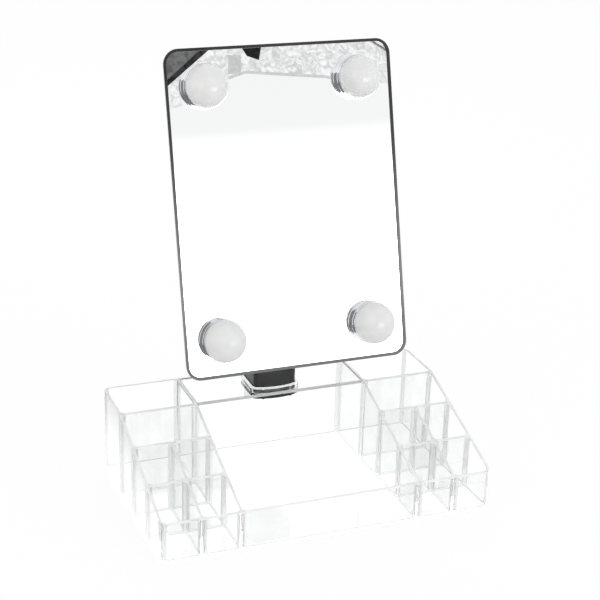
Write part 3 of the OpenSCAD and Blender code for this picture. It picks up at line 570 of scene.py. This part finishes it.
def lean(bm):
    """Moves the outer skin of the frame inwards, most at the back."""
    for vert in bm.verts:
        flat = Vector((vert.co.dot(glass_across), (vert.co - glass_centre).dot(glass_up)))
        beyond = Vector([abs(flat[i]) - (frame_half[i] - FRAME_CORNER) for i in (0, 1)])
        outwards = Vector([max(0, beyond[i]) for i in (0, 1)])
        if outwards.length < FRAME_CORNER - SKIN:
            continue
        share = (frame_front - vert.co.dot(glass_out)) / (frame_front - frame_back)
        inwards = -outwards.normalized() * FRAME_LEAN * share
        vert.co += (glass_across * (inwards[0] * (1 if flat[0] > 0 else -1))
                    + glass_up * (inwards[1] * (1 if flat[1] > 0 else -1)))


rounded_copy("mirror_frame", FRAME_ROUND, shaped=lean)

# %% [markdown]
# ## Helpers for round parts
#
# The domes and collars of the bulbs are bodies of revolution. Each could be cut from a ball or a cylinder, but
# one closed outline that is spun round an axis gives the wall, the rounds and the inside in one go.

# %% Helpers for round parts
SPIN_STEPS = 96


def turned(profile):
    """A closed body of revolution about z from a closed outline of (radius, height) points."""
    bm = bmesh.new()
    points = [bm.verts.new((radius, 0, height)) for radius, height in profile]
    edges = [bm.edges.new((a, b)) for a, b in zip(points, points[1:] + points[:1])]
    bmesh.ops.spin(bm, geom=points + edges, cent=(0, 0, 0), axis=(0, 0, 1), angle=2 * pi, steps=SPIN_STEPS,
                   use_merge=True)
    bmesh.ops.remove_doubles(bm, verts=bm.verts, dist=SAME_POINT)
    loose = [e for e in bm.edges if not e.link_faces]
    bmesh.ops.delete(bm, geom=loose, context="EDGES")
    bmesh.ops.recalc_face_normals(bm, faces=bm.faces)
    return bm


def arc(centre, radius, start, end, steps):
    """Points of an arc in the outline's plane, from one angle in degrees to the other."""
    return [(centre[0] + radius * cos(radians(start + (end - start) * i / steps)),
             centre[1] + radius * sin(radians(start + (end - start) * i / steps))) for i in range(steps + 1)]


def foot_of(node):
    """The point where the axis of a round node that stands on the glass meets the glass."""
    return (glass_across * sum(reach(node, glass_across)) / 2 + glass_up * sum(reach(node, glass_up)) / 2
            + glass_out * reach(node, glass_out)[0])


def half_width(node):
    """The radius of a round node that stands on the glass."""
    return (reach(node, glass_across)[1] - reach(node, glass_across)[0]) / 2

# %% [markdown]
# ## Bulbs
#
# Each bulb is a milky dome on a chrome collar. The dome is a shell as thick as the real moulding, with a skirt
# that goes down inside the collar. The collar has a shallow bead round its middle, which shows as a light
# streak between darker bands.

# %% Bulbs
BULBS = 4
COLLAR_WALL, SHELL, SKIRT, FOOT_INSET = 1.3 * mm, 1.4 * mm, 3 * mm, 0.2 * mm
INNER_START, DOME_STEPS, INNER_STEPS = 20, 32, 24
BEAD_ROUND, BEAD_HALF_ANGLE, BEAD_STEPS = 2 * mm, 30, 12
BAND_ROUND, BAND_STEPS = 0.5 * mm, 8

for number in range(1, BULBS + 1):
    globe, collar = f"bulb_globe_{number}", f"bulb_collar_{number}"
    seat = Matrix.Translation(foot_of(collar)) @ glass_turn
    low, high = reach(collar, glass_out)
    height, collar_radius, dome_radius = high - low, half_width(collar), half_width(globe)
    dome_centre = (0, reach(globe, glass_out)[1] - low - dome_radius)
    inner_radius = collar_radius - COLLAR_WALL

    shell = (arc(dome_centre, dome_radius, 90, 0, DOME_STEPS)
             + [(dome_radius - FOOT_INSET, height), (inner_radius, height), (inner_radius, height - SKIRT),
                (inner_radius - SHELL, height - SKIRT)]
             + arc(dome_centre, dome_radius - SHELL, INNER_START, 90, INNER_STEPS))
    dome = turned(shell)
    bmesh.ops.transform(dome, matrix=seat, verts=dome.verts)
    put_in_place(dome, f"milky_globe_{number}", "mirror", "milky_plastic", [globe])

    bead = arc((collar_radius - BEAD_ROUND, height / 2), BEAD_ROUND, -BEAD_HALF_ANGLE, BEAD_HALF_ANGLE,
               BEAD_STEPS)
    band_radius = bead[0][0]
    band = ([(inner_radius, 0), (band_radius, 0)] + bead
            + arc((band_radius - BAND_ROUND, height - BAND_ROUND), BAND_ROUND, 0, 180, BAND_STEPS))
    ring = turned(band)
    bmesh.ops.transform(ring, matrix=seat, verts=ring.verts)
    put_in_place(ring, f"chrome_collar_{number}", "mirror", "chrome", [collar])

# %% [markdown]
# ## Helpers for the stage
#
# The floor and the cards are flat sheets that are not part of the object. Their materials give a ray another
# answer when it comes straight from the camera than when something shiny or clear has sent it on.

# %% Helpers for the stage
def ray_is(tree, *kinds):
    """A value of 1 for rays of any of the given kinds, such as "Camera" or "Glossy"."""
    path = tree.nodes.new("ShaderNodeLightPath")
    either = path.outputs[f"Is {kinds[0]} Ray"]
    for kind in kinds[1:]:
        largest = tree.nodes.new("ShaderNodeMath")
        largest.operation = "MAXIMUM"
        tree.links.new(either, largest.inputs[0])
        tree.links.new(path.outputs[f"Is {kind} Ray"], largest.inputs[1])
        either = largest.outputs["Value"]
    return either


def bare_material(name):
    """A new material that has only its output node."""
    material = bpy.data.materials.new(name)
    material.use_nodes = True
    material.node_tree.nodes.remove(material.node_tree.nodes["Principled BSDF"])
    return material


def rectangle(low, high):
    """The four corners of a rectangle in order, from its lowest and its highest corner."""
    return [low, (high[0], low[1]), high, (low[0], high[1])]


def stage_sheet(name, corners, material):
    """A flat piece of the stage with the given corners in order."""
    bm = bmesh.new()
    bm.faces.new([bm.verts.new(corner) for corner in corners])
    mesh = bpy.data.meshes.new(name)
    bm.to_mesh(mesh)
    bm.free()
    mesh.materials.append(material)
    sheet = bpy.data.objects.new(name, mesh)
    bpy.context.scene.collection.objects.link(sheet)
    return sheet

# %% [markdown]
# ## The floor
#
# The photograph is a white cut-out, so the floor is white to the camera. Rays that a clear or shiny surface
# sends on see it white as well, but a reflection sees it dark beyond the tray's left side, which gives the
# chrome collars and the frame a dark side. The floor still takes a share of real light, so that the object's
# shadow stays on it. It lies a hair above the sole, as if the plastic touched it, because an air gap under
# clear plastic would throw back stray sparkles.

# %% Floor
FLOOR_LEVEL, FLOOR_REACH = 0.01 * mm, 4
PAPER_TONE = (0.9, 0.9, 0.9, 1)
SHADOW_SHARE = 0.05
THROUGH_TONE = 1.2
DARK_SIDE, LIGHT_SIDE, SIDE_TONE = -0.22, -0.17, 0.1

paper = bare_material("floor_paper")
tree = paper.node_tree
matt, white, blend = (tree.nodes.new(kind) for kind in
                      ("ShaderNodeBsdfDiffuse", "ShaderNodeEmission", "ShaderNodeMixShader"))
matt.inputs["Color"].default_value = PAPER_TONE
place = tree.nodes.new("ShaderNodeSeparateXYZ")
beside = map_range(tree, DARK_SIDE, LIGHT_SIDE, SIDE_TONE, THROUGH_TONE)
tree.links.new(tree.nodes.new("ShaderNodeTexCoord").outputs["Object"], place.inputs["Vector"])
tree.links.new(place.outputs["X"], beside.inputs["Value"])
by_reflection, by_eye = tree.nodes.new("ShaderNodeMix"), tree.nodes.new("ShaderNodeMix")
by_reflection.inputs["A"].default_value, by_eye.inputs["B"].default_value = THROUGH_TONE, 1
tree.links.new(ray_is(tree, "Glossy"), by_reflection.inputs["Factor"])
tree.links.new(beside.outputs["Result"], by_reflection.inputs["B"])
tree.links.new(ray_is(tree, "Camera"), by_eye.inputs["Factor"])
tree.links.new(by_reflection.outputs["Result"], by_eye.inputs["A"])
tree.links.new(by_eye.outputs["Result"], white.inputs["Strength"])
share = tree.nodes.new("ShaderNodeMath")
share.operation = "MULTIPLY"
share.inputs[1].default_value = 1 - SHADOW_SHARE
tree.links.new(ray_is(tree, "Camera", "Glossy", "Transmission"), share.inputs[0])
tree.links.new(share.outputs["Value"], blend.inputs["Fac"])
tree.links.new(matt.outputs["BSDF"], blend.inputs[1])
tree.links.new(white.outputs["Emission"], blend.inputs[2])
tree.links.new(blend.outputs["Shader"], tree.nodes["Material Output"].inputs["Surface"])
stage_sheet("floor", [(x, y, FLOOR_LEVEL) for x, y in
                      rectangle((-FLOOR_REACH, -FLOOR_REACH), (FLOOR_REACH, FLOOR_REACH))], paper)
print("floor of", 2 * FLOOR_REACH, "m,", FLOOR_LEVEL / mm, "mm above the sole")

# %% [markdown]
# ## The world
#
# To the camera the world is plain white. Rays that a clear or shiny surface sends on see bright walls and a
# greyer ceiling, which, with the painted grey of their finish, draws the rims of clear plastic in grey. For all
# other rays it is an even light, a little below white, so that pale surfaces don't burn out.

# %% World
WORLD_LIGHT = 0.7
WALL_TOP, CEILING_START, CEILING_TONE = 0.5, 0.8, 0.8

world = bpy.data.worlds.new("studio")
bpy.context.scene.world = world
world.use_nodes = True
tree = world.node_tree
heading = tree.nodes.new("ShaderNodeSeparateXYZ")
ceiling = map_range(tree, WALL_TOP, CEILING_START, THROUGH_TONE, CEILING_TONE)
seen, level = tree.nodes.new("ShaderNodeMix"), tree.nodes.new("ShaderNodeMix")
tree.links.new(tree.nodes.new("ShaderNodeTexCoord").outputs["Generated"], heading.inputs["Vector"])
tree.links.new(heading.outputs["Z"], ceiling.inputs["Value"])
seen.inputs["B"].default_value = 1
tree.links.new(ray_is(tree, "Camera"), seen.inputs["Factor"])
tree.links.new(ceiling.outputs["Result"], seen.inputs["A"])
level.inputs["A"].default_value = WORLD_LIGHT
tree.links.new(ray_is(tree, "Camera", "Glossy", "Transmission"), level.inputs["Factor"])
tree.links.new(seen.outputs["Result"], level.inputs["B"])
tree.nodes["Background"].inputs["Color"].default_value = (1, 1, 1, 1)
tree.links.new(level.outputs["Result"], tree.nodes["Background"].inputs["Strength"])
print("world light", WORLD_LIGHT, "with a ceiling of", CEILING_TONE)

# %% [markdown]
# ## What the mirror and the bulbs reflect
#
# A shiny surface only looks real if it has something to reflect. So cards stand in front of the object which
# only reflections can see. Each is drawn where the mirror shows it: a ray from the camera is sent on by the
# glass at the place where the card's corner should appear, and the corner goes where that ray meets the
# card's plane.

# %% Helpers for cards
CARD_DISTANCE, CARD_GAP = 1.0, 0.01
PATCH, PATCH_TWIST = 0.012, 1.5


def shown_at(across, up, distance):
    """The point in front of the object that the mirror shows at a place on its glass, in mm from the centre."""
    place = glass_centre + glass_across * across * mm + glass_up * up * mm
    ray = (place - camera.location).normalized().reflect(glass_out)
    return place + ray * ((-distance - place.y) / ray.y)


def card_tone(name, dark, pale, patch=PATCH):
    """A glow between two levels in patches of the given size in metres."""
    material = bare_material(name)
    tree = material.node_tree
    glow, cloud = tree.nodes.new("ShaderNodeEmission"), tree.nodes.new("ShaderNodeTexNoise")
    levels = map_range(tree, CLOUD_LOW, CLOUD_HIGH, dark, pale)
    cloud.inputs["Scale"].default_value, cloud.inputs["Distortion"].default_value = 1 / patch, PATCH_TWIST
    tree.links.new(tree.nodes.new("ShaderNodeTexCoord").outputs["Object"], cloud.inputs["Vector"])
    tree.links.new(cloud.outputs["Fac"], levels.inputs["Value"])
    tree.links.new(levels.outputs["Result"], glow.inputs["Strength"])
    tree.links.new(glow.outputs["Emission"], tree.nodes["Material Output"].inputs["Surface"])
    return material


def reflected_card(name, corners, material):
    """Makes a card that only reflections see."""
    card = stage_sheet(name, corners, material)
    card.visible_camera = card.visible_diffuse = card.visible_transmission = card.visible_shadow = False

# %% [markdown]
# ## The large cards
#
# The mirror shows white below and a very pale grey above. So a bright card stands on the right, whose light
# changes with height and is written as stops of a colour ramp. Low down its light is several times that of
# white, because the black frame sends back only a few per cent of it and still shows grey there. A darker card
# stands on the left, and gives the chrome collars and the frame their dark side.

# %% Large cards
MOST_LIGHT = 7.0
LIGHT_AT_HEIGHT = {0.20: 4.2, 0.25: 4.6, 0.31: 6.8, 0.37: 5.8, 0.44: 3.8, 0.49: 2.8, 0.53: 1.3, 0.58: 0.98,
                   0.72: 0.97, 0.85: 0.97}
BRIGHT_CARD, SIDE_CARD = ((0.0, 0.05), (0.75, 0.9)), ((-0.68, 0.0), (-0.02, 0.9))
SIDE_CARD_LIGHT, SIDE_CARD_PATCH = (0.25, 0.31), 0.3

bright = bare_material("bright_card")
tree = bright.node_tree
place, level, scaled, glow = (tree.nodes.new(kind) for kind in
                              ("ShaderNodeSeparateXYZ", "ShaderNodeValToRGB", "ShaderNodeMath",
                               "ShaderNodeEmission"))
scaled.operation = "MULTIPLY"
scaled.inputs[1].default_value = MOST_LIGHT
stops = level.color_ramp.elements
for height, light in LIGHT_AT_HEIGHT.items():
    stop = stops.new(height)
    stop.color = (light / MOST_LIGHT,) * 3 + (1,)
stops.remove(stops[0])
stops.remove(stops[-1])
tree.links.new(tree.nodes.new("ShaderNodeTexCoord").outputs["Object"], place.inputs["Vector"])
tree.links.new(place.outputs["Z"], level.inputs["Fac"])
tree.links.new(level.outputs["Color"], scaled.inputs[0])
tree.links.new(scaled.outputs["Value"], glow.inputs["Strength"])
tree.links.new(glow.outputs["Emission"], tree.nodes["Material Output"].inputs["Surface"])

side = card_tone("side_card", *SIDE_CARD_LIGHT, patch=SIDE_CARD_PATCH)
for name, corners, material in (("bright_card", BRIGHT_CARD, bright), ("side_card", SIDE_CARD, side)):
    reflected_card(name, [(x, -CARD_DISTANCE, z) for x, z in rectangle(*corners)], material)
print("bright card with", len(stops), "levels of light, and a darker card beside it")

# %% [markdown]
# ## Small cards in the mirror's upper edge
#
# Along its upper edge the mirror shows a band of crumpled pale wrapping, a pale and two dark blocks, and a thin
# streak. They are plain shapes with a patchy tone. Their corners are given in mm from the centre of the glass,
# as the mirror shows them, and each card stands a little nearer than the one before, so that it covers it.

# %% Small cards
SMALL_CARDS = {
    "wrapping": ((-102, 112), (-64, 142), (106, 146), (106, 98), (41, 108), (-31, 116), (-46, 112), (-88, 92),
                 (-104, 88)),
    "wrapping_hem": ((-46, 113.5), (-31, 117.5), (41, 109.5), (64, 104), (64, 101.5), (41, 107), (-31, 115),
                     (-46, 111)),
    "pale_block": ((-45.1, 131.1), (-33.7, 130.5), (-34.9, 114.9), (-46.3, 115.5)),
    "dark_block": ((-36, 142), (-14, 142), (-18.1, 125.6), (-28.5, 129.4)),
    "corner_block": ((-108, 150), (-55, 150), (-63.1, 135.3), (-97.9, 109.5), (-108, 102)),
    "corner_seam": ((-69, 136.5), (-61, 136.5), (-97.9, 109.5), (-108, 102), (-108, 107)),
    "streak": ((83, 137), (86, 137), (99, 129), (99, 126.5))}
CARD_LIGHT = {"wrapping": (0.68, 1.02), "wrapping_hem": (0.60, 0.72), "pale_block": (0.58, 0.68),
              "dark_block": (0.015, 0.03), "corner_block": (0.12, 0.2), "corner_seam": (0.02, 0.05),
              "streak": (0.15, 0.4)}
for layer, (name, places) in enumerate(SMALL_CARDS.items(), 1):
    distance = CARD_DISTANCE - layer * CARD_GAP
    reflected_card(name, [shown_at(across, up, distance) for across, up in places],
                   card_tone(name, *CARD_LIGHT[name]))
print(len(SMALL_CARDS), "small cards")

# %% [markdown]
# ## Lamps and bounces
#
# Three large lamps give soft light and no hard highlight. Light that is caught in a clear wall bounces many
# times before it leaves, and cutting it off early would turn the edges black, so the number of bounces is high.

# %% Lamps
LAMP_SIZE = 1.0
CLEAR_BOUNCES, SHINY_BOUNCES, UNSEEN_BOUNCES = 64, 32, 16


def soft_lamp(name, place, watts):
    """Makes a square lamp that faces the middle of the object."""
    lamp = bpy.data.objects.new(name, bpy.data.lights.new(name, "AREA"))
    lamp.data.energy, lamp.data.size = watts, LAMP_SIZE
    lamp.location = place
    lamp.rotation_euler = (VIEW_CENTRE - Vector(place)).to_track_quat("-Z", "Y").to_euler()
    lamp.visible_glossy = lamp.visible_camera = False
    bpy.context.scene.collection.objects.link(lamp)
    print(name, watts, "W at", place)


soft_lamp("key_lamp", (1.2, -1.4, 1.5), 14)
soft_lamp("fill_lamp", (-1.5, -0.8, 1.0), 8)
soft_lamp("back_lamp", (0.3, 1.5, 1.4), 8)

render = bpy.context.scene.cycles
render.max_bounces = render.transmission_bounces = CLEAR_BOUNCES
render.glossy_bounces, render.transparent_max_bounces = SHINY_BOUNCES, UNSEEN_BOUNCES

# %% [markdown]
# ## Last lines
#
# The view settings show colours as they are written.

# %% Settings
bpy.context.scene.view_settings.view_transform = "Standard"
